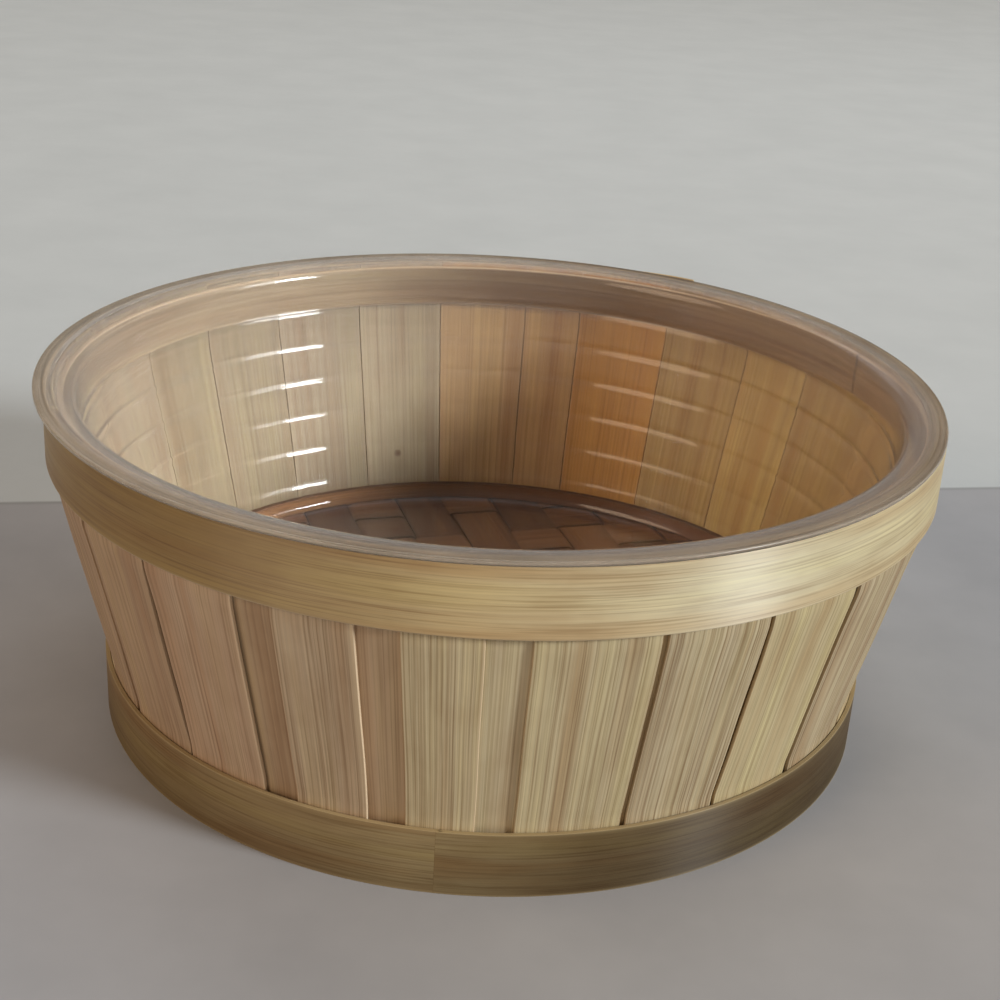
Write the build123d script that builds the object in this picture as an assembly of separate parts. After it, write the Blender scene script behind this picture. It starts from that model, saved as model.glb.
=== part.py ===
"""Open bamboo steaming basket with a lift-out clear liner.

A round, flared wall of two plies of bamboo staves is pinched between hoops at
the rim and at the base, a woven floor is held in the base, and a ribbed clear
liner hangs in the basket by its flange. Millimetres, +Z up, the foot on z = 0.
"""

from build123d import *
import math
import os

# Overall levels.
RIM_TOP = 107.4
BASE_TOP = 20.1
RIM_BOTTOM = 87.0

# Staves: a vertical foot, a flared wall and a vertical head.
STAVE_THICK = 1.1
PLY_GAP = 0.1
FOOT_R = 121.6
HEAD_R = 137.1
BEND_LOW = 20.6
BEND_HIGH = 85.6
STAVE_BOTTOM = 0.8
STAVE_TOP = 107.0

# Hoops: outer radius, thickness and height range of each.
HOOP_ROUND = 0.5
RIM_HOOP_R = 139.0
RIM_HOOP_THICK = 1.8
BASE_HOOP_R = 123.7
BASE_HOOP_THICK = 2.0
INNER_RIM_R = 134.7
INNER_RIM_THICK = 2.3
INNER_RIM_LOW = 90.8
INNER_RIM_HIGH = 105.4
INNER_BASE_R = 119.2
CLAMP_THICK = 2.2
CLAMP_LOW = 15.3
CLAMP_HIGH = 21.5
SUPPORT_THICK = 3.4
SUPPORT_LOW = 0.8
SUPPORT_HIGH = 12.5
BUTT_GAP = 0.5

# Woven floor.
FLOOR_R = 119.0
FLOOR_MID = 13.9
STRIP_THICK = 0.9
STRIP_PITCH = 18.8
STRIP_WIDTH = 17.5
WAVE = 0.6
WARP_AZIMUTH = 107.0
WARP_PHASE = 5.2
WEFT_PHASE = -3.4
FLOAT_SHIFT = (2, 1, 2, 0)

# Liner.
LINER_X = -1.4
LINER_Y = -0.3
LINER_WALL = 0.9
FLANGE_R = 140.0
FLANGE_LOW = 107.65
FLANGE_TOP = 109.15
LIP_IN_R = 134.4
MOUTH_R = 127.3
MOUTH_Z = 104.0
WALL_FOOT_R = 114.2
WALL_FOOT_Z = 21.5
LINER_FLOOR_R = 108.2
LINER_FLOOR_Z = 15.4
RIB_TOP_Z = 93.5
RIB_PITCH = 13.1
RIB_COUNT = 6
RIB_HALF = 2.6
RIB_DEPTH = 0.8

# Joints between staves, in degrees of azimuth, as (first edge, last edge).
# The front of the basket is at -90. Where two outer staves stand apart, the
# inner ply shows between them.
OUTER_STAVES = (
    (-145.8, -131.7), (-131.3, -118.2), (-113.2, -103.5), (-98.5, -89.7),
    (-84.7, -70.8), (-70.0, -57.3), (-56.7, -42.9), (-42.4, -26.2),
    (-25.7, -8.2), (-7.8, 7.8), (8.2, 22.8), (23.2, 38.8),
    (39.2, 51.5), (56.0, 68.8), (69.2, 81.3), (81.7, 93.3),
    (93.7, 104.5), (109.0, 120.8), (121.2, 133.0), (137.5, 148.3),
    (148.7, 160.5), (165.0, 175.3), (175.7, 188.3), (188.7, 201.8),
    (202.2, 213.8),
)
INNER_JOINTS = (
    34.3, 46.6, 61.8, 76.8, 86.0, 100.2, 114.0, 128.4, 142.0, 155.1, 170.4,
    180.5, 195.5, 210.5, 225.4, 240.1, 255.0, 269.0, 284.0, 298.5, 313.0,
    328.5, 344.0, 361.0, 377.5, 394.3,
)
INNER_JOINT_GAP = 0.25

os.makedirs("parts", exist_ok=True)


def save(shape, node):
    """Write one sub-part."""
    export_step(shape, f"parts/{node}.step")


def polar(radius, azimuth):
    """Point in the plan at a radius and an azimuth in degrees."""
    turn = math.radians(azimuth)
    return (radius * math.cos(turn), radius * math.sin(turn))


def turned(points, arc=360.0):
    """Solid from (radius, height) points swept about the basket's axis."""
    face = make_face(Plane.XZ * Polyline(*points, close=True))
    return revolve(face, axis=Axis.Z, revolution_arc=arc)


def stave(outset, first, last, bottom, top):
    """One stave between two azimuths, its outer face outset from the nominal wall."""
    foot = FOOT_R + outset
    head = HEAD_R + outset
    points = [
        (foot, bottom), (foot, BEND_LOW), (head, BEND_HIGH), (head, top),
        (head - STAVE_THICK, top), (head - STAVE_THICK, BEND_HIGH),
        (foot - STAVE_THICK, BEND_LOW), (foot - STAVE_THICK, bottom),
    ]
    return Rot(0, 0, first) * turned(points, last - first)


def hoop(radius, thick, low, high):
    """Plain round hoop with softened edges."""
    points = [(radius - thick, low), (radius, low), (radius, high), (radius - thick, high)]
    ring = turned(points)
    return fillet(ring.edges().filter_by(GeomType.CIRCLE), HOOP_ROUND)


def lap(radius, lift, end, root, low, high):
    """Free end of a hoop strip, rising off the hoop from its root to its end."""
    inner = radius - 0.3
    middle = (end + root) / 2
    outer_edge = ThreePointArc(
        polar(inner, root), polar((inner + radius + lift) / 2, middle), polar(radius + lift, end)
    )
    end_edge = Line(polar(radius + lift, end), polar(inner, end))
    inner_edge = ThreePointArc(polar(inner, end), polar(inner, middle), polar(inner, root))
    face = make_face(outer_edge + end_edge + inner_edge)
    return Pos(0, 0, low) * extrude(face, high - low, dir=(0, 0, 1))


def butt_joint(radius, azimuth, low, high):
    """Narrow radial slot where the two ends of an inner hoop meet."""
    slot = Pos(radius, 0, (low + high) / 2) * Box(12, BUTT_GAP, high - low + 4)
    return Rot(0, 0, azimuth) * slot


def warp_on_top(column, row):
    """Whether a warp strip passes over a weft strip at a crossing."""
    return (FLOAT_SHIFT[column % len(FLOAT_SHIFT)] - row) % 4 < 2


def woven_strip(offset, crossings):
    """Strip along X at a sideways offset; crossings are (centre, lifted)."""
    reach = STRIP_PITCH / 2 - (STRIP_PITCH - STRIP_WIDTH) / 2 + 0.05
    line = []
    for centre, lifted in crossings:
        height = WAVE if lifted else -WAVE
        line.append((centre - reach, height))
        line.append((centre + reach, height))
    top = [(x, FLOOR_MID + z + STRIP_THICK / 2) for x, z in line]
    low = [(x, FLOOR_MID + z - STRIP_THICK / 2) for x, z in reversed(line)]
    face = make_face(Plane.XZ * Polyline(*(top + low), close=True))
    strip = extrude(face, STRIP_WIDTH, dir=(0, 1, 0))
    strip = Pos(0, offset - STRIP_WIDTH / 2, 0) * strip
    return strip & Pos(0, 0, FLOOR_MID) * Cylinder(FLOOR_R, 8)


def liner_side(out):
    """Edges of one face of the liner, from its flange to its axis."""
    lean = (MOUTH_R - WALL_FOOT_R) / (MOUTH_Z - WALL_FOOT_Z)
    mouth_top = (LIP_IN_R, FLANGE_TOP - 0.5 - out)
    mouth = (MOUTH_R + out, MOUTH_Z)
    foot = (WALL_FOOT_R + out, WALL_FOOT_Z)
    floor = (LINER_FLOOR_R, LINER_FLOOR_Z + LINER_WALL - out)
    edges = Spline(mouth_top, mouth, tangents=((-1, 0), (-lean, -1)))
    last = mouth
    for index in range(RIB_COUNT):
        middle = RIB_TOP_Z - index * RIB_PITCH
        rib = []
        for height in (middle + RIB_HALF, middle, middle - RIB_HALF):
            rib.append((WALL_FOOT_R + out + lean * (height - WALL_FOOT_Z), height))
        bulge = (rib[1][0] + RIB_DEPTH, rib[1][1])
        edges += Line(last, rib[0])
        edges += ThreePointArc(rib[0], bulge, rib[2])
        last = rib[2]
    edges += Line(last, foot)
    edges += Spline(foot, floor, tangents=((-lean, -1), (-1, 0)))
    edges += Line(floor, (0, floor[1]))
    return edges, mouth_top, (0, floor[1])


def liner():
    """Clear bowl hung by a thick rounded flange."""
    inside, inside_top, inside_end = liner_side(0)
    outside, outside_top, outside_end = liner_side(LINER_WALL)
    flange = Polyline(
        inside_top, (LIP_IN_R + 0.7, FLANGE_TOP), (FLANGE_R - 0.7, FLANGE_TOP),
        (FLANGE_R, FLANGE_TOP - 0.6), (FLANGE_R, FLANGE_LOW), (LIP_IN_R + 1.2, FLANGE_LOW),
        outside_top,
    )
    face = make_face(Plane.XZ * (inside + Line(inside_end, outside_end) + outside + flange))
    return Pos(LINER_X, LINER_Y, 0) * revolve(face, axis=Axis.Z, revolution_arc=360)


for number, (first, last) in enumerate(OUTER_STAVES, start=1):
    drop = 0.3 * (number * 7 % 5)
    save(stave(0, first, last, STAVE_BOTTOM + drop / 2, STAVE_TOP - drop), f"outer_stave_{number:02d}")

inner_outset = -STAVE_THICK - PLY_GAP
for number, (first, last) in enumerate(zip(INNER_JOINTS, INNER_JOINTS[1:]), start=1):
    drop = 0.3 * (number * 3 % 5)
    ply = stave(inner_outset, first + INNER_JOINT_GAP / 2, last - INNER_JOINT_GAP / 2,
                STAVE_BOTTOM + drop / 2, STAVE_TOP - drop)
    save(ply, f"inner_stave_{number:02d}")

rim_hoop = hoop(RIM_HOOP_R, RIM_HOOP_THICK, RIM_BOTTOM, RIM_TOP)
rim_hoop += lap(RIM_HOOP_R, 1.1, 59, 99, RIM_BOTTOM + 0.6, RIM_TOP - 0.6)
save(rim_hoop, "outer_rim_hoop")

base_hoop = hoop(BASE_HOOP_R, BASE_HOOP_THICK, 0, BASE_TOP)
base_hoop += lap(BASE_HOOP_R, 0.5, -94.5, -62, 0.6, BASE_TOP - 0.6)
save(base_hoop, "outer_base_hoop")

inner_rim = hoop(INNER_RIM_R, INNER_RIM_THICK, INNER_RIM_LOW, INNER_RIM_HIGH)
inner_rim -= butt_joint(INNER_RIM_R, 22, INNER_RIM_LOW, INNER_RIM_HIGH)
save(inner_rim, "inner_rim_hoop")

clamp = hoop(INNER_BASE_R, CLAMP_THICK, CLAMP_LOW, CLAMP_HIGH)
clamp -= butt_joint(INNER_BASE_R, 205, CLAMP_LOW, CLAMP_HIGH)
save(clamp, "floor_clamp_hoop")

support = hoop(INNER_BASE_R, SUPPORT_THICK, SUPPORT_LOW, SUPPORT_HIGH)
support -= butt_joint(INNER_BASE_R, 150, SUPPORT_LOW, SUPPORT_HIGH)
save(support, "floor_support_hoop")

spread = range(-7, 8)
warp = []
weft = []
for column in spread:
    offset = WARP_PHASE + column * STRIP_PITCH
    if abs(offset) < FLOOR_R:
        crossings = [(WEFT_PHASE + row * STRIP_PITCH, warp_on_top(column, row)) for row in spread]
        strip = woven_strip(-offset, crossings)
        warp.append(Rot(0, 0, WARP_AZIMUTH) * strip)
for row in spread:
    offset = WEFT_PHASE + row * STRIP_PITCH
    if abs(offset) < FLOOR_R:
        crossings = [(WARP_PHASE + column * STRIP_PITCH, not warp_on_top(column, row)) for column in spread]
        strip = woven_strip(offset, crossings)
        weft.append(Rot(0, 0, WARP_AZIMUTH - 90) * strip)
save(Compound(warp), "floor_warp_strips")
save(Compound(weft), "floor_weft_strips")

save(liner(), "liner")
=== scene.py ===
"""Bamboo basket with a lift-out clear liner: the look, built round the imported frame.

Metres, +Z up, the foot on z = 0, the front of the basket towards -Y.
"""

import math
import random

import bmesh
import bpy
import numpy as np
from mathutils import Matrix, Vector


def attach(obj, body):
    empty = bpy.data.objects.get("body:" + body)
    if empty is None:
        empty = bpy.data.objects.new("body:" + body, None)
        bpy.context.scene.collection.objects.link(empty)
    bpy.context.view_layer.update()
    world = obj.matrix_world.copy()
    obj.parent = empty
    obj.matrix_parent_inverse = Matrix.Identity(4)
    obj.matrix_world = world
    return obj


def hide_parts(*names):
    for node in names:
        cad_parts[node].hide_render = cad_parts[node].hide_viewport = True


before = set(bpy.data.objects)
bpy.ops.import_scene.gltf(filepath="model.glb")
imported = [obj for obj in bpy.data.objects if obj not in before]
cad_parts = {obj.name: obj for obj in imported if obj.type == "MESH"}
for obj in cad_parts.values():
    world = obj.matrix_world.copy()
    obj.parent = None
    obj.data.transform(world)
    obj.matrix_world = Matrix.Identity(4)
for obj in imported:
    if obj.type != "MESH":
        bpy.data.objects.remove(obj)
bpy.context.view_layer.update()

MM = 0.001

# Wall of the basket, as in the CAD model.
RIM_TOP, RIM_BOTTOM, BASE_TOP = 107.4, 87.0, 20.1
FOOT_R, HEAD_R = 121.6, 137.1
BEND_LOW, BEND_HIGH, BEND_EASE = 20.6, 85.6, 3
STAVE_THICK, PLY_STEP = 1.1, 1.2
STAVE_BOTTOM, STAVE_TOP = 0.8, 107.0

# How far from a hoop a stave comes fully free, and the radius its width is measured at.
HELD_RUN, MIDDLE_R = 22, 130

# Liner: its place, wall, mouth, bowl, bed, ribs and the section of its lip.
LINER_X, LINER_Y = -1.4, -0.3
LINER_WALL = 0.9
MOUTH_R, MOUTH_Z = 127.3, 104.0
BOWL_R, BOWL_Z = 114.2, 21.5
BED_R, BED_Z = 108.2, 16.3
RIBS, TOP_RIB, RIB_STEP = 6, 93.5, 13.1
RIB_HEIGHT, RIB_SPREAD, RIBBED_R = 0.56, 1.25, 100
LIP = (
    (135.1, 109.12), (135.6, 109.15), (136.6, 109.08), (137.6, 109.13), (138.6, 109.08),
    (139.3, 109.1), (139.75, 108.9), (139.94, 108.5), (139.94, 108.0), (139.8, 107.75),
    (139.4, 107.66), (135.6, 107.66),
)

# Small random waves: a base wave with two overtones, and the peak of their sum.
WAVE_ORDERS = (1, 2, 3)
WAVE_PEAK = 1.8

# Edges of the staves in degrees. Each inner stave stops a little short of its joints.
JOINT_GAP = 0.07
OUTER_STAVES = (
    (-145.2, -131.7), (-131.4, -118.2), (-113.2, -103.5), (-98.5, -89.7),
    (-84.7, -70.8), (-70.0, -57.3), (-56.7, -43.2), (-42.1, -26.4),
    (-25.7, -8.2), (-7.8, 7.8), (8.2, 22.8), (23.2, 38.8),
    (39.2, 51.5), (56.0, 68.8), (69.2, 81.3), (81.7, 93.3),
    (93.7, 104.5), (109.0, 120.8), (121.2, 133.0), (137.5, 148.3),
    (148.7, 160.5), (165.0, 175.3), (175.7, 188.3), (188.7, 201.8),
    (202.2, 213.8),
)
INNER_JOINTS = (
    34.3, 46.6, 61.8, 76.8, 86.0, 100.2, 114.0, 128.4, 142.0, 155.1, 170.4,
    180.5, 195.5, 210.5, 225.4, 240.1, 255.0, 269.0, 284.0, 298.5, 313.0,
    328.5, 344.0, 361.0, 377.5, 394.3,
)

# Bamboo tones, linear.
TONES = {
    "straw": (0.62, 0.50, 0.29),
    "pale": (0.65, 0.555, 0.37),
    "cream": (0.45, 0.37, 0.255),
    "olive": (0.55, 0.47, 0.26),
    "pink": (0.68, 0.49, 0.34),
    "tan": (0.52, 0.38, 0.22),
    "brown": (0.48, 0.305, 0.14),
    "sage": (0.60, 0.48, 0.34),
    "dusk": (0.53, 0.39, 0.255),
    "rose": (0.47, 0.33, 0.215),
    "maize": (0.56, 0.465, 0.275),
    "blush": (0.57, 0.415, 0.285),
    "wheat": (0.60, 0.505, 0.325),
    # chaff and husk are darkened as painted shade for the window-lit part of the inner wall.
    "chaff": (0.285, 0.22, 0.13),
    "husk": (0.34, 0.265, 0.17),
    "linen": (0.56, 0.47, 0.32),
    "hay": (0.50, 0.41, 0.27),
    "gold": (0.53, 0.395, 0.155),
    "honey": (0.53, 0.375, 0.15),
    "amber": (0.58, 0.315, 0.09),
    "umber": (0.52, 0.34, 0.165),
    "oat": (0.42, 0.335, 0.215),
    "ochre": (0.48, 0.343, 0.14),
}
# Outer staves whose right cut edge, facing the window, carries a strong painted highlight; the others
# carry a faint one.
LIT_CUT_STAVES = (1, 2, 3, 9, 14, 19)
OUTER_TONES = (
    "rose", "blush", "sage", "pale", "wheat", "linen", "maize", "hay",
    "straw", "pale", "olive", "straw", "pink", "pale", "straw", "tan",
    "pale", "straw", "olive", "pink", "pale", "straw", "tan", "pale", "rose",
)
OUTER_FIGURE = (
    0.20, 0.15, 0.50, 0.75, 0.55, 0.95, 0.30, 0.80, 0.55, 0.9, 0.6, 0.8, 0.4,
    0.9, 0.6, 0.7, 1.0, 0.5, 0.8, 0.3, 0.7, 0.9, 0.5, 0.8, 0.4,
)
# The dark husk and chaff tones put painted shade on the inner staves at the left of the wall, where the
# window light falls.
INNER_TONES = (
    "gold", "ochre", "amber", "brown", "umber", "oat", "husk", "chaff", "chaff",
    "husk", "husk", "oat", "cream", "tan", "oat", "dusk", "dusk", "pale",
    "tan", "honey", "oat", "gold", "tan", "honey", "ochre",
)


def link(obj):
    """Put an object in the scene."""
    bpy.context.scene.collection.objects.link(obj)
    return obj


def wobble(seed, x):
    """Smooth wandering value of about -1 to 1 along an array of positions."""
    dice = random.Random(seed)
    total = np.zeros_like(x, dtype=float)
    for order in WAVE_ORDERS:
        phase = dice.uniform(0, 2 * math.pi)
        pace = order * dice.uniform(0.7, 1.3)
        total += np.sin(x * pace + phase) / order
    return total / WAVE_PEAK


def ripple(seed, azimuth, waves):
    """Smooth value of about -1 to 1 that meets itself after a full turn."""
    dice = random.Random(seed)
    total = 0
    for order in WAVE_ORDERS:
        phase = dice.uniform(0, 2 * math.pi)
        total = total + np.sin(azimuth * waves * order + phase) / order
    return total / WAVE_PEAK


def ease(x):
    """Smooth step from 0 to 1."""
    x = np.clip(x, 0, 1)
    return x * x * (3 - 2 * x)


def around(radius, azimuth, height):
    """Points from radius in mm, azimuth in radians and height in mm, in metres."""
    return np.stack([radius * np.cos(azimuth), radius * np.sin(azimuth), height + 0 * azimuth], -1) * MM


def outward_mesh(name, points, faces):
    """Mesh of a closed solid with its faces turned outwards."""
    mesh = bpy.data.meshes.new(name)
    mesh.from_pydata(points.reshape(-1, 3).tolist(), [], faces)
    edit = bmesh.new()
    edit.from_mesh(mesh)
    bmesh.ops.recalc_face_normals(edit, faces=edit.faces)
    edit.to_mesh(mesh)
    edit.free()
    return mesh


def slab(name, outer, inner, grain, edge, tint, figure=0.7):
    """Thin closed solid between two grids of points, rows along the first index."""
    rows, cols = outer.shape[:2]
    points = np.concatenate([outer.reshape(-1, 3), inner.reshape(-1, 3)])
    half = rows * cols
    top = (rows - 1) * cols
    faces = []
    for i in range(rows - 1):
        for j in range(cols - 1):
            a = i * cols + j
            b, c, d = a + 1, a + cols + 1, a + cols
            faces.append((a, b, c, d))
            faces.append((half + d, half + c, half + b, half + a))
    for j in range(cols - 1):
        faces.append((half + j, half + j + 1, j + 1, j))
        faces.append((top + j, top + j + 1, half + top + j + 1, half + top + j))
    for i in range(rows - 1):
        a, b = i * cols, (i + 1) * cols
        faces.append((a, b, half + b, half + a))
        a, b = a + cols - 1, b + cols - 1
        faces.append((half + a, half + b, b, a))
    mesh = outward_mesh(name, points, faces)
    store(mesh, "grain", "FLOAT_VECTOR", "vector", np.concatenate([grain.reshape(-1, 3)] * 2))
    store(mesh, "edge", "FLOAT", "value", np.concatenate([edge.reshape(-1)] * 2))
    colour = np.ones((len(points), 4))
    colour[:, :3] = np.concatenate([tint.reshape(-1, 3)] * 2) if tint.ndim == 3 else tint
    store(mesh, "tint", "FLOAT_COLOR", "color", colour)
    store(mesh, "figure", "FLOAT", "value", np.full(len(points), figure))
    mesh.shade_smooth()
    mesh.set_sharp_from_angle(angle=math.radians(35))
    return link(bpy.data.objects.new(name, mesh))


def store(mesh, name, kind, field, values):
    """Give a mesh a named value at each point."""
    attribute = mesh.attributes.new(name, kind, "POINT")
    attribute.data.foreach_set(field, np.asarray(values, np.float32).ravel())


def soften(obj, width):
    """Round a piece's cut edges a little."""
    bevel = obj.modifiers.new("soft_edges", "BEVEL")
    bevel.width = width * MM
    bevel.segments = 2
    bevel.limit_method = "ANGLE"
    bevel.angle_limit = math.radians(40)
    bevel.use_clamp_overlap = True


def spaced(count, margin):
    """Positions from 0 to 1 with extra ones close to both ends."""
    middle = np.linspace(margin, 1 - margin, count)
    return np.concatenate([[0, margin * 0.4], middle, [1 - margin * 0.4, 1]])


def wall_radius(height, outset):
    """Nominal outer radius of a ply at a height, its bends eased."""
    knots = [BEND_LOW - BEND_EASE, BEND_LOW + BEND_EASE, BEND_HIGH - BEND_EASE, BEND_HIGH + BEND_EASE]
    rise = BEND_EASE * (HEAD_R - FOOT_R) / (BEND_HIGH - BEND_LOW)
    return np.interp(height, knots, [FOOT_R, FOOT_R + rise, HEAD_R - rise, HEAD_R]) + outset


# ---------------------------------------------------------------- materials

class Nodes:
    """Short hand for building one node material."""

    def __init__(self, name):
        self.mat = bpy.data.materials.new(name)
        self.mat.use_nodes = True
        self.tree = self.mat.node_tree
        self.tree.nodes.clear()

    def add(self, kind, inputs=None, **fields):
        node = self.tree.nodes.new(kind)
        for key, value in fields.items():
            setattr(node, key, value)
        for key, value in (inputs or {}).items():
            self.feed(node.inputs[key], value)
        return node

    def feed(self, socket, value):
        if isinstance(value, bpy.types.NodeSocket):
            self.tree.links.new(value, socket)
        else:
            socket.default_value = value

    def attribute(self, name, output):
        return self.add("ShaderNodeAttribute", attribute_name=name).outputs[output]

    def math(self, operation, first, second=0.0, third=0.0):
        node = self.add("ShaderNodeMath", {0: first, 1: second, 2: third}, operation=operation)
        return node.outputs[0]

    def noise(self, vector, scales, detail, rough):
        stretched = self.add("ShaderNodeVectorMath", {0: vector, 1: scales}, operation="MULTIPLY")
        node = self.add(
            "ShaderNodeTexNoise",
            {"Vector": stretched.outputs[0], "Scale": 1.0, "Detail": detail, "Roughness": rough},
        )
        return node.outputs["Fac"]

    def ramp(self, factor, *stops):
        node = self.add("ShaderNodeValToRGB", {"Fac": factor})
        band = node.color_ramp
        while len(band.elements) < len(stops):
            band.elements.new(0.5)
        for element, (place, colour) in zip(band.elements, stops):
            element.position = place
            element.color = rgb(*colour)
        return node.outputs["Color"]

    def mix(self, blend, factor, first, second):
        node = self.add("ShaderNodeMix", data_type="RGBA", blend_type=blend)
        self.feed(node.inputs["Factor"], factor)
        self.feed(node.inputs["A"], first)
        self.feed(node.inputs["B"], second)
        return node.outputs["Result"]

    def finish(self, shader):
        self.add("ShaderNodeOutputMaterial", {"Surface": shader})
        return self.mat


def rgb(r, g, b):
    return (r, g, b, 1.0)


def bamboo(name, fibre, streak, fleck, rough, bump, upright_gloss=None, knot=None,
           edge_paint=(0.80, 0.61, 0.40), short=1.0):
    """Bamboo veneer: fibres, streaks and tone drift that follow each strip's own grain.

    upright_gloss is the strength of a gloss drawn out up and down, knot the place of a dark spot,
    the edge colour is painted along a strip's edges (a painted highlight on lit bamboo edges, painted
    shade in the seams of the floor weave), and short how soon the fibres change along a strip.
    """
    n = Nodes(name)
    grain = n.attribute("grain", "Vector")
    tint = n.attribute("tint", "Color")
    edge = n.attribute("edge", "Fac")
    figure = n.attribute("figure", "Fac")
    fine = n.noise(grain, (1750, 9 * short, 9.1), 2.0, 0.55)
    mid = n.noise(grain, (760, 3 * short, 5.3), 4.0, 0.68)
    broad = n.noise(grain, (120, 4 * short, 3.7), 2.0, 0.5)
    mottle = n.noise(grain, (95, 38, 2.1), 3.0, 0.6)
    vessel = n.noise(grain, (1150, 12 * short, 13.3), 1.0, 0.5)
    colour = n.mix("MULTIPLY", n.math("MULTIPLY", figure, streak), tint, n.ramp(
        mid, (0.34, (0.70, 0.58, 0.46)), (0.50, (0.95, 0.92, 0.87)), (0.64, (1.12, 1.12, 1.08))))
    colour = n.mix("MULTIPLY", n.math("MULTIPLY_ADD", figure, 0.6 * fibre, 0.4 * fibre), colour, n.ramp(
        fine, (0.34, (0.60, 0.51, 0.41)), (0.49, (1.0, 1.0, 1.0)), (0.66, (1.16, 1.16, 1.14))))
    colour = n.mix("MULTIPLY", 0.9, colour, n.ramp(
        broad, (0.32, (0.86, 0.75, 0.66)), (0.50, (1.0, 0.99, 0.98)), (0.68, (1.06, 1.07, 0.96))))
    colour = n.mix("MULTIPLY", 0.5, colour, n.ramp(
        mottle, (0.34, (0.84, 0.78, 0.72)), (0.52, (1.0, 1.0, 1.0)), (0.68, (1.10, 1.10, 1.08))))
    pores = n.math("MULTIPLY", vessel, n.math("MULTIPLY_ADD", figure, 0.12, 0.88))
    pores = n.ramp(pores, (0.58, (0, 0, 0)), (0.70, (fleck, fleck, fleck)))
    colour = n.mix("MIX", pores, colour, n.mix("MULTIPLY", 1.0, tint, rgb(0.42, 0.29, 0.20)))
    # Painted edges: a painted highlight along the lit edges of the bamboo, or painted shade in the seams
    # of the floor weave.
    painted_edge = n.math("MULTIPLY", edge, n.math("MULTIPLY_ADD", mid, 0.8, 0.45))
    colour = n.mix("MIX", painted_edge, colour, rgb(*edge_paint))
    if knot:
        spot = n.add("ShaderNodeTexCoord").outputs["Object"]
        spot = n.add("ShaderNodeVectorMath", {0: spot, 1: knot}, operation="DISTANCE").outputs["Value"]
        spot = n.ramp(n.math("MULTIPLY", spot, 400.0), (0.25, (0.8, 0.8, 0.8)), (0.75, (0, 0, 0)))
        colour = n.mix("MIX", spot, colour, rgb(0.16, 0.08, 0.04))
    height = n.math("MULTIPLY_ADD", fine, 0.55, n.math("MULTIPLY", mid, 0.45))
    relief = n.add("ShaderNodeBump", {"Strength": bump, "Distance": 0.00022, "Height": height})
    gloss = n.math("MULTIPLY_ADD", mid, -0.22, rough + 0.11)
    gloss = n.math("MULTIPLY_ADD", fine, 0.12, gloss)
    shader = n.add(
        "ShaderNodeBsdfPrincipled",
        {"Base Color": colour, "Roughness": gloss, "Normal": relief.outputs[0],
         "Specular IOR Level": 0.5},
    )
    if upright_gloss:
        shader.inputs["Anisotropic"].default_value = 0.98
        shader.inputs["Specular IOR Level"].default_value = upright_gloss
        shader.inputs["Anisotropic Rotation"].default_value = 0.25
        tangent = n.add("ShaderNodeTangent", direction_type="RADIAL", axis="Z")
        n.feed(shader.inputs["Tangent"], tangent.outputs[0])
    return n.finish(shader.outputs[0])


def clear_plastic():
    """Thin clear moulded plastic: faint drawing lines, clouded and ringed on its flange."""
    n = Nodes("clear_liner")
    grain = n.attribute("grain", "Vector")
    cloud = n.attribute("cloud", "Fac")
    drift = n.noise(grain, (60, 22, 22), 3.0, 0.6)
    rings = n.noise(grain, (1100, 5, 5), 2.0, 0.6)
    height = n.math("MULTIPLY_ADD", rings, 0.6, drift)
    relief = n.add("ShaderNodeBump", {"Strength": 0.14, "Distance": 0.0001, "Height": height})
    gloss = n.math("MULTIPLY_ADD", drift, 0.08, n.math("MULTIPLY_ADD", cloud, 0.2, 0.02))
    tint = n.ramp(n.math("MULTIPLY_ADD", rings, 0.7, n.math("MULTIPLY", drift, 0.3)),
                  (0.40, (0.25, 0.184, 0.115)), (0.60, (0.645, 0.55, 0.43)))
    tint = n.mix("MIX", cloud, rgb(0.95, 0.945, 0.96), tint)
    milky = n.math("MULTIPLY", cloud, n.math("ADD", rings, 0.1))
    clear = n.math("MULTIPLY_ADD", milky, -0.45, 0.985)
    glass = n.add(
        "ShaderNodeBsdfPrincipled",
        {"Base Color": tint, "Roughness": gloss, "Normal": relief.outputs[0],
         "IOR": 1.37, "Transmission Weight": clear},
    )
    shade = n.add("ShaderNodeBsdfTransparent", {"Color": rgb(0.85, 0.84, 0.83)})
    ray = n.add("ShaderNodeLightPath")
    mixed = n.add("ShaderNodeMixShader", {
        "Fac": ray.outputs["Is Shadow Ray"], 1: glass.outputs[0], 2: shade.outputs[0]})
    return n.finish(mixed.outputs[0])


# The edge colours below paint highlights along lit bamboo edges; on the floor strips the edge colour
# paints shade into the seams of the weave.
STAVE_MAT = bamboo("stave_veneer", 1.0, 0.95, 0.45, 0.56, 0.6, edge_paint=(0.90, 0.70, 0.47))
INNER_MAT = bamboo("inner_veneer", 0.55, 0.5, 0.2, 0.6, 0.4, knot=(-0.0378, 0.1163, 0.033))
HOOP_MAT = bamboo("hoop_strip", 0.70, 0.30, 0.07, 0.42, 0.25,
                  upright_gloss=0.9, edge_paint=(0.74, 0.60, 0.38), short=2.2)
BASE_MAT = bamboo("base_hoop_strip", 0.6, 0.40, 0.15, 0.46, 0.5,
                  upright_gloss=0.25, edge_paint=(0.52, 0.40, 0.22), short=3.0)
FLOOR_MAT = bamboo("floor_strip", 0.6, 0.8, 0.4, 0.55, 0.5, edge_paint=(0.05, 0.02, 0.01))
LINER_MAT = clear_plastic()


def place_piece(obj, body, material, node):
    """Dress a piece, fix it to its body and let it stand for its CAD node."""
    obj.data.materials.append(material)
    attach(obj, body)
    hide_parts(node)


# ------------------------------------------------------------------- staves

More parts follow.
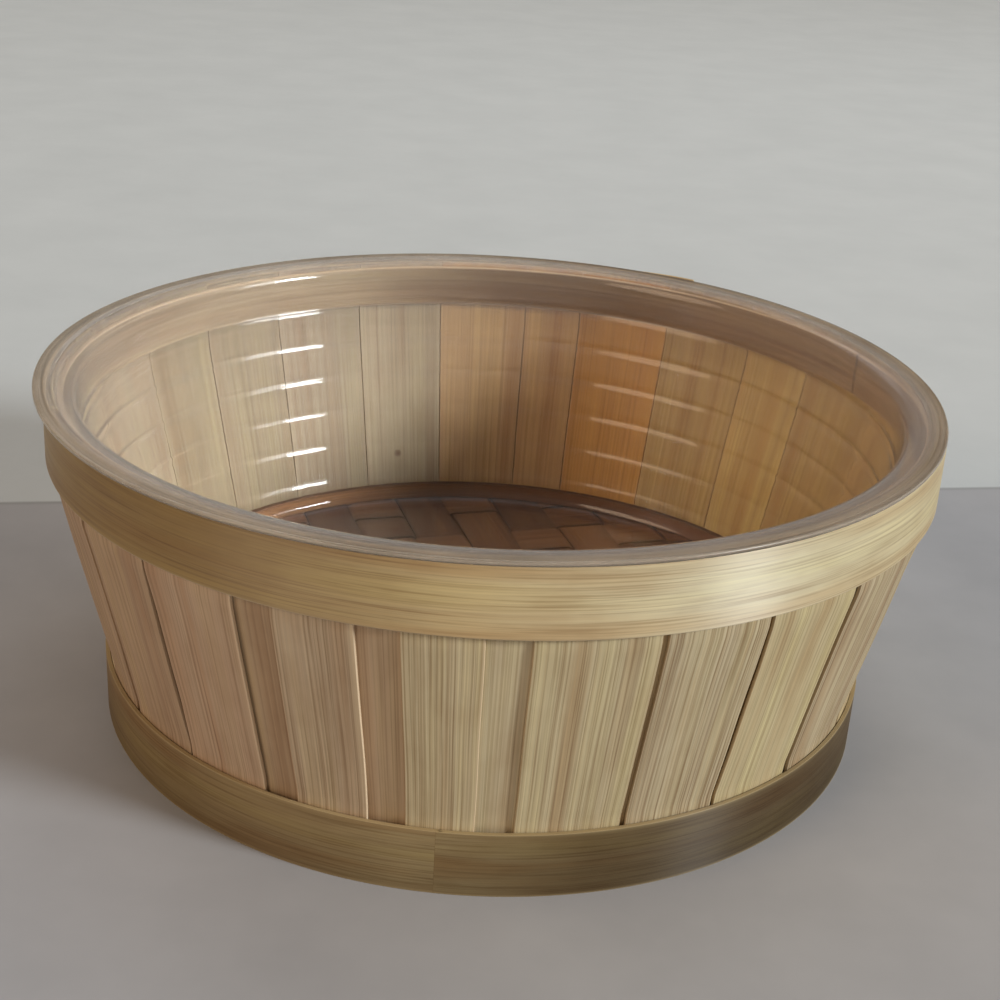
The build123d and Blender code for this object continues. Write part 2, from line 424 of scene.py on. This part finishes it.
def stave(node, seed, first, last, outset, tone, material, lift, sway, cut=0.25, figure=0.6):
    """One veneer stave, a little flat, its edges wandering and lifting between the hoops.

    first and last are its edges in degrees, lift how far it may spring off, sway how far its
    edges wander in degrees, cut how strong the painted highlight on its right cut edge is, and figure how
    strong its grain is.
    """
    dice = random.Random(seed)
    drop = dice.uniform(0, 1.0)
    heights = np.concatenate([
        np.linspace(STAVE_BOTTOM + drop, BEND_LOW - 3, 5),
        np.linspace(BEND_LOW - 2, BEND_LOW + 4, 6),
        np.linspace(BEND_LOW + 6, BEND_HIGH - 6, 26),
        np.linspace(BEND_HIGH - 4, BEND_HIGH + 4, 7),
        np.linspace(BEND_HIGH + 6, STAVE_TOP - drop, 5),
    ])
    u, z = np.meshgrid(spaced(9, 0.06), heights)
    radius = wall_radius(z, outset)
    free = ease((z - BASE_TOP) / HELD_RUN) * ease((RIM_BOTTOM + 2 - z) / HELD_RUN)
    left = first + sway * wobble(seed + 1, z / HELD_RUN)
    right = last + sway * wobble(seed + 2, z / HELD_RUN)
    azimuth = np.radians(left + (right - left) * u)
    flat = dice.uniform(0.10, 0.45) * (2 * u - 1) ** 2 - 0.25
    curl = dice.uniform(-1, 1) * (u - 0.5) + dice.uniform(-1, 1) * 0.4 * (u - 0.5) ** 3
    radius = radius + free * lift * (flat + 0.7 * curl)
    radius = radius + 0.06 * wobble(seed + 3, z / 9 + 3 * u)
    radius = np.minimum(radius, wall_radius(z, outset) + 0.45 * free + 0.04)
    width = np.radians(last - first) * MIDDLE_R * MM
    grain = np.stack([u * width, z * MM, 0 * u + seed * 0.37], -1)
    # Painted highlight along the right cut edge, which faces the window light, and a faint paler line
    # along the left edge.
    edge = cut * np.exp(-(1 - u) * width / MM / 0.45) + 0.15 * np.exp(-u * width / MM / 0.4)
    tint = np.array(TONES[tone]) * dice.uniform(0.94, 1.06)
    face, back = around(radius, azimuth, z), around(radius - STAVE_THICK, azimuth, z)
    obj = slab(node + "_veneer", face, back, grain, edge, tint, figure)
    soften(obj, 0.16)
    place_piece(obj, "basket", material, node)


for index, (first, last) in enumerate(OUTER_STAVES):
    stave(f"outer_stave_{index + 1:02d}", 100 + index, first, last, 0.0, OUTER_TONES[index],
          STAVE_MAT, lift=1.0, sway=0.10,
          cut=0.95 if index in LIT_CUT_STAVES else 0.25, figure=OUTER_FIGURE[index])

for index, (first, last) in enumerate(zip(INNER_JOINTS, INNER_JOINTS[1:])):
    stave(f"inner_stave_{index + 1:02d}", 300 + index, first + JOINT_GAP, last - JOINT_GAP, -PLY_STEP,
          INNER_TONES[index], INNER_MAT, lift=0.45, sway=0.04)


# -------------------------------------------------------------------- hoops

HOOP_STEPS = 288


def drifting(azimuth, *tones):
    """Colour along a bent strip, eased between the colours given as (degrees, colour); on the rim and base
    hoops these carry painted light and shade round the basket.
    """
    places = [math.radians(place) for place, _ in tones]
    turned = np.mod(azimuth, 2 * math.pi)
    return np.stack([np.interp(turned, places, [tone[i] for _, tone in tones], period=2 * math.pi)
                     for i in range(3)], -1)


def hoop(name, node, seed, radius, thick, low, high, start, turn, tint, material,
         lean=0.0, lap=(0.0, 1.0, 0.0), soft=0.4, shade=0.0):
    """Bent strip round the basket, from its free end at start through turn degrees.

    lap is how far the free end springs off, over how many degrees, and how far it climbs;
    lean tips the strip outwards, and shade paints shade on its foot and a little light on its top.
    """
    swing = np.radians(np.linspace(start, start + turn, HOOP_STEPS))
    a, v = np.meshgrid(swing, spaced(9, 0.05))
    z = low + (high - low) * v
    z = z + 0.12 * ripple(seed, a, 4) * (v - 0.1)
    r = radius + 0.07 * ripple(seed + 1, a, 5) + lean * (v - 0.5)
    spring, root, climb = lap
    loose = 1 - ease((np.degrees(a) - start) / root)
    r = r + spring * loose
    z = z + climb * loose ** 3
    grain = np.stack([z * MM, a * radius * MM, 0 * a + seed * 0.61], -1)
    # Both long edges take the material's edge colour: a painted highlight on the bamboo hoops, painted
    # shade on the floor clamp.
    edge = np.exp(-np.minimum(v, 1 - v) * (high - low) / 0.3) * 0.8
    # Painted light and shade round the strip come from its tones; shade paints shade on the foot and light
    # on the top.
    toned = drifting(a, *tint) * (1 + shade * (v[..., None] - 0.6))
    obj = slab(name, around(r, a, z), around(r - thick, a, z), grain, edge, toned)
    soften(obj, soft)
    place_piece(obj, "basket", material, node)


# Rim hoop tones: painted shade round the left side, painted light towards the front right, where the
# window falls.
GOLD_STRIP = (
    (60, (0.52, 0.38, 0.18)), (170, (0.30, 0.21, 0.085)), (240, (0.33, 0.215, 0.075)),
    (270, (0.66, 0.52, 0.29)), (295, (0.77, 0.69, 0.47)), (335, (0.62, 0.52, 0.31)),
)
# Base hoop tones: a dark olive-brown strip, with painted shade making its front right darker still.
DARK_STRIP = (
    (90, (0.26, 0.18, 0.085)), (200, (0.24, 0.165, 0.08)), (262, (0.325, 0.25, 0.135)),
    (285, (0.138, 0.096, 0.048)), (330, (0.097, 0.066, 0.035)), (360, (0.16, 0.112, 0.056)),
)
INSIDE_STRIP = (
    (60, (0.25, 0.16, 0.08)), (90, (0.20, 0.118, 0.045)), (115, (0.37, 0.28, 0.165)),
    (180, (0.26, 0.19, 0.12)), (300, (0.42, 0.29, 0.17)),
)
RED_STRIP = (
    (0, (0.22, 0.10, 0.04)), (85, (0.21, 0.09, 0.035)), (125, (0.34, 0.17, 0.065)),
    (240, (0.30, 0.15, 0.06)),
)
RAW_STRIP = ((0, (0.50, 0.36, 0.20)), (150, (0.46, 0.33, 0.18)), (280, (0.52, 0.38, 0.21)))

hoop("rim_hoop_strip", "outer_rim_hoop", 11, 138.6, 1.3, RIM_BOTTOM, RIM_TOP, 105, 360,
     GOLD_STRIP, HOOP_MAT)
hoop("rim_hoop_lap", "outer_rim_hoop", 12, 138.9, 0.75, RIM_BOTTOM + 0.4, RIM_TOP - 0.05, 59, 100,
     GOLD_STRIP, HOOP_MAT, lap=(1.8, 44, 1.65), soft=0.15)
hoop("rim_hoop_inside_strip", "inner_rim_hoop", 13, 134.7, 2.0, 90.8, 105.4, 22.2, 359.6,
     INSIDE_STRIP, INNER_MAT)
hoop("base_hoop_strip", "outer_base_hoop", 14, 123.3, 1.3, 0.05, BASE_TOP, -94.5, 361.0,
     DARK_STRIP, BASE_MAT, lean=0.2, lap=(0.03, 80, 0.0), soft=0.12, shade=0.4)
hoop("floor_clamp_strip", "floor_clamp_hoop", 15, 119.2, 2.2, 15.3, 21.5, 205.2, 359.5,
     RED_STRIP, FLOOR_MAT)
hoop("floor_support_strip", "floor_support_hoop", 16, 119.2, 3.4, 0.8, 12.5, 150.2, 359.5,
     RAW_STRIP, INNER_MAT)


# -------------------------------------------------------------- woven floor

FLOOR_R, FLOOR_MID = 119.0, 13.9
STRIP_PITCH, STRIP_WIDTH, STRIP_THICK = 18.8, 17.5, 0.8
WARP_AZIMUTH, WARP_PHASE, WEFT_PHASE = 107.0, 5.2, -3.4
CELLS = range(-7, 8)
# Over two, under two: how far the pattern shifts from strip to strip, and how far a strip rises.
FLOAT_SHIFT = (2, 1, 2, 0)
OVER = 0.56
FLOOR_TONES = (
    (0.19, 0.078, 0.024), (0.24, 0.102, 0.033), (0.145, 0.058, 0.018), (0.30, 0.142, 0.052),
)


def warp_on_top(column, row):
    """Whether the warp strip passes over at this crossing of the weave."""
    return (FLOAT_SHIFT[column % len(FLOAT_SHIFT)] - row) % 4 < 2


def woven_strip(name, seed, offset, cross_phase, lifted, azimuth):
    """One strip of the floor, waving over and under the strips that cross it."""
    inset = max(abs(offset) - STRIP_WIDTH / 2, 0)
    reach = math.sqrt(FLOOR_R ** 2 - inset ** 2)
    t, w = np.meshgrid(np.linspace(-reach, reach, 200), spaced(5, 0.06), indexing="ij")
    centres = np.array([cross_phase + cell * STRIP_PITCH for cell in CELLS])
    heights = np.array([OVER if lifted(cell) else -OVER for cell in CELLS])
    wave = np.full_like(t, heights[0])
    for centre, low, high in zip(centres, heights, heights[1:]):
        wave = wave + (high - low) * ease((t - centre - STRIP_PITCH / 2) / 3.0 + 0.5)
    side = np.clip(offset + (w - 0.5) * STRIP_WIDTH, 0.6 - FLOOR_R, FLOOR_R - 0.6)
    limit = np.sqrt(FLOOR_R ** 2 - side ** 2)
    t = np.clip(t, -limit, limit)
    crown = 0.10 * (1 - (2 * w - 1) ** 2)
    z = FLOOR_MID + wave * (1 + 0.05 * wobble(seed, t / 30)) + crown
    turn = math.radians(azimuth)
    x = t * math.cos(turn) - side * math.sin(turn)
    y = t * math.sin(turn) + side * math.cos(turn)
    upper = np.stack([x, y, z + STRIP_THICK / 2], -1) * MM
    lower = np.stack([x, y, z - STRIP_THICK / 2], -1) * MM
    grain = np.stack([w * STRIP_WIDTH * MM, t * MM, 0 * t + seed * 0.73], -1)
    # Painted shade along both edges of the strip, in the seams of the weave.
    edge = np.exp(-np.minimum(w, 1 - w) * STRIP_WIDTH / 0.7) * 0.9
    tint = np.array(FLOOR_TONES[seed % len(FLOOR_TONES)])
    return slab(name, upper, lower, grain, edge, tint)


def joined(name, parts):
    """Several strips as one piece."""
    target = parts[0]
    with bpy.context.temp_override(
        active_object=target, object=target, selected_objects=parts, selected_editable_objects=parts
    ):
        bpy.ops.object.join()
    target.name = name
    target.data.name = name
    return target


warp, weft = [], []
for cell in CELLS:
    offset = WARP_PHASE + cell * STRIP_PITCH
    if abs(offset) < FLOOR_R:
        warp.append(woven_strip(f"warp_{cell}", 40 + cell, -offset, WEFT_PHASE,
                                lambda row, column=cell: warp_on_top(column, row), WARP_AZIMUTH))
    offset = WEFT_PHASE + cell * STRIP_PITCH
    if abs(offset) < FLOOR_R:
        weft.append(woven_strip(f"weft_{cell}", 71 + cell, offset, WARP_PHASE,
                                lambda column, row=cell: not warp_on_top(column, row), WARP_AZIMUTH - 90))
for name, parts, node in (("floor_warp_weave", warp, "floor_warp_strips"),
                          ("floor_weft_weave", weft, "floor_weft_strips")):
    piece = joined(name, parts)
    place_piece(piece, "basket", FLOOR_MAT, node)


# -------------------------------------------------------------------- liner

def hermite(start, end, leave, arrive, count):
    """Smooth run of points between two ends with given directions."""
    t = np.linspace(0, 1, count)[:, None]
    first, last = np.array(start), np.array(end)
    pull = np.linalg.norm(last - first) * 1.3
    leave = np.array(leave) / np.linalg.norm(leave) * pull
    arrive = np.array(arrive) / np.linalg.norm(arrive) * pull
    return ((2 * t ** 3 - 3 * t ** 2 + 1) * first + (t ** 3 - 2 * t ** 2 + t) * leave
            + (3 * t ** 2 - 2 * t ** 3) * last + (t ** 3 - t ** 2) * arrive)


def liner_face(out):
    """Radius and height along one face of the liner, from its lip down to its centre."""
    lean = (MOUTH_R - BOWL_R) / (MOUTH_Z - BOWL_Z)
    down = (-lean, -1)
    mouth = hermite((134.4, 108.65 - out), (MOUTH_R + out, MOUTH_Z), (-1, 0), down, 16)
    height = np.linspace(MOUTH_Z, BOWL_Z, 150)[1:-1]
    wall = np.stack([BOWL_R + out + lean * (height - BOWL_Z), height], -1)
    corner = hermite((BOWL_R + out, BOWL_Z), (BED_R, BED_Z - out), down, (-1, 0), 12)
    bed = np.stack([np.linspace(100, 0.4, 12), np.full(12, BED_Z - out)], -1)
    return np.concatenate([mouth, wall, corner, bed])


def liner_shell():
    """The liner as one closed thin shell, with its ribs and the cloudiness of its flange."""
    profile = np.concatenate([liner_face(0)[::-1], np.array(LIP), liner_face(LINER_WALL)])
    rows, steps = len(profile), 256
    swing = np.linspace(0, 2 * math.pi, steps, endpoint=False)
    r, a = np.meshgrid(profile[:, 0], swing, indexing="ij")
    z = np.repeat(profile[:, 1][:, None], steps, 1)
    for rib in range(RIBS):
        middle = TOP_RIB - rib * RIB_STEP + 0.25 * ripple(820 + rib, a, 1)
        height = RIB_HEIGHT + 0.12 * ripple(800 + rib, a, 2)
        r = r + height * np.exp(-((z - middle) / RIB_SPREAD) ** 2) * (r > RIBBED_R)
    faces = []
    for i in range(rows - 1):
        for j in range(steps):
            k = (j + 1) % steps
            faces.append((i * steps + j, i * steps + k, (i + 1) * steps + k, (i + 1) * steps + j))
    faces.append(tuple(range(steps)))
    faces.append(tuple(reversed(range((rows - 1) * steps, rows * steps))))
    points = around(r, a, z) + np.array([LINER_X, LINER_Y, 0]) * MM
    mesh = outward_mesh("liner_shell", points, faces)
    run = np.concatenate([[0], np.cumsum(np.hypot(*np.diff(profile, axis=0).T))])
    run = np.repeat(run[:, None], steps, 1) * MM
    store(mesh, "grain", "FLOAT_VECTOR", "vector", np.stack([run, 0.13 * np.cos(a), 0.13 * np.sin(a)], -1))
    flange = 0.27 * ease((r - 128) / 6) + 0.55 * ease((r - 134.4) / 2.5)
    cloud = 0.15 * ease((z - 40) / 60) + flange * ease((z - 100) / 5)
    store(mesh, "cloud", "FLOAT", "value", cloud)
    mesh.shade_smooth()
    return link(bpy.data.objects.new("liner_shell", mesh))


place_piece(liner_shell(), "liner", LINER_MAT, "liner")


# -------------------------------------------------------------------- stage

def ground():
    """Plain pale floor, its far part a little lighter, with a thin dark line of painted shade behind the
    basket, where a wall would meet the floor.
    """
    n = Nodes("pale_ground")
    place = n.add("ShaderNodeTexCoord").outputs["Object"]
    axes = n.add("ShaderNodeSeparateXYZ", {0: place})
    band = n.math("SUBTRACT", n.math("MULTIPLY_ADD", axes.outputs[0], -0.186, axes.outputs[1]), 0.156)
    far = n.ramp(n.math("MULTIPLY_ADD", band, 260.0, 0.5), (0.0, (0, 0, 0)), (1.0, (1, 1, 1)))
    speck = n.noise(place, (14, 14, 14), 4.0, 0.6)
    near_tone = n.ramp(speck, (0.3, (0.43, 0.43, 0.45)), (0.7, (0.49, 0.49, 0.51)))
    far_tone = n.ramp(speck, (0.3, (0.62, 0.65, 0.66)), (0.7, (0.66, 0.69, 0.70)))
    colour = n.mix("MIX", far, near_tone, far_tone)
    # Painted shade: a thin dark line along the seam between the two tones, standing for the shaded corner
    # where a wall meets the floor.
    corner_shade = n.math("SUBTRACT", 1.0, n.math("ABSOLUTE", n.math("MULTIPLY", band, 450.0)))
    corner_shade = n.math("MULTIPLY", n.math("MAXIMUM", corner_shade, 0.0), 0.45)
    colour = n.mix("MIX", corner_shade, colour, rgb(0.16, 0.15, 0.15))
    relief = n.add("ShaderNodeBump", {"Strength": 0.1, "Distance": 0.001, "Height": speck})
    shader = n.add("ShaderNodeBsdfPrincipled", {
        "Base Color": colour, "Roughness": 0.85, "Specular IOR Level": 0.15,
        "Normal": relief.outputs[0]})
    return n.finish(shader.outputs[0])


ground_mesh = bpy.data.meshes.new("ground")
ground_mesh.from_pydata([(-60, -60, 0), (60, -60, 0), (60, 60, 0), (-60, 60, 0)], [], [(0, 1, 2, 3)])
ground_mesh.materials.append(ground())
link(bpy.data.objects.new("ground", ground_mesh))

world = bpy.data.worlds.new("soft_room")
bpy.context.scene.world = world
world.use_nodes = True
tree = world.node_tree
ambient = tree.nodes["Background"]
ambient.inputs["Color"].default_value = rgb(1.0, 0.92, 0.82)
ambient.inputs["Strength"].default_value = 0.20
backdrop = tree.nodes.new("ShaderNodeBackground")
backdrop.inputs["Color"].default_value = rgb(0.50, 0.51, 0.50)
seen = tree.nodes.new("ShaderNodeMixShader")
ray = tree.nodes.new("ShaderNodeLightPath")
tree.links.new(ray.outputs["Is Camera Ray"], seen.inputs["Fac"])
tree.links.new(ambient.outputs[0], seen.inputs[1])
tree.links.new(backdrop.outputs[0], seen.inputs[2])
tree.links.new(seen.outputs[0], tree.nodes["World Output"].inputs["Surface"])


def toward(azimuth, elevation):
    """Unit vector for a direction in degrees."""
    a, e = math.radians(azimuth), math.radians(elevation)
    return Vector((math.cos(a) * math.cos(e), math.sin(a) * math.cos(e), math.sin(e)))


def light(name, kind, way, power, colour):
    """Light that shines back along a direction."""
    data = bpy.data.lights.new(name, kind)
    data.energy = power
    data.color = colour
    obj = link(bpy.data.objects.new(name, data))
    obj.rotation_mode = "QUATERNION"
    obj.rotation_quaternion = way.to_track_quat("Z", "Y")
    return obj


def sun(name, azimuth, elevation, spread, strength, colour):
    """Even, soft-edged light over the whole floor from a direction given in degrees."""
    obj = light(name, "SUN", toward(azimuth, elevation), strength, colour)
    obj.data.angle = math.radians(spread)
    return obj


def lamp(name, azimuth, elevation, distance, wide, tall, power, colour, target=(0, 0, 0.06), spread=180):
    """Soft area light from a direction in degrees, aimed at the basket's middle or a given place."""
    way = toward(azimuth, elevation)
    obj = light(name, "AREA", way, power, colour)
    obj.data.shape = "RECTANGLE"
    obj.data.size, obj.data.size_y = wide, tall
    obj.data.spread = math.radians(spread)
    obj.location = Vector(target) + way * distance


sun("window", -24, 22, 14, 2.3, (0.95, 0.99, 1.0))
sun("warm_fill", -145, 26, 36, 0.85, (1.0, 0.74, 0.50))
back_fill = sun("back_fill", 110, 36, 30, 0.3, (0.97, 0.98, 1.0))
back_fill.visible_glossy = False
lamp("overhead", 60, 80, 1.8, 1.6, 1.6, 2.0, (0.96, 0.98, 1.0))
lamp("back_wash", 90, 86, 1.9, 2.0, 1.4, 2.5, (0.97, 0.99, 1.0), (0.8, 0.9, 0.0), 100)

camera_data = bpy.data.cameras.new("camera")
camera_data.sensor_width = 36.0
camera_data.lens = 60.6
camera = link(bpy.data.objects.new("camera", camera_data))
camera.matrix_world = (
    Matrix.Translation((0.0, -0.5023, 0.2798))
    @ Matrix.Rotation(math.radians(-0.35), 4, "Z")
    @ Matrix.Rotation(math.radians(90 - 23.15), 4, "X")
    @ Matrix.Rotation(math.radians(3.42), 4, "Z")
)
bpy.context.scene.camera = camera
bpy.context.scene.view_settings.view_transform = "Standard"
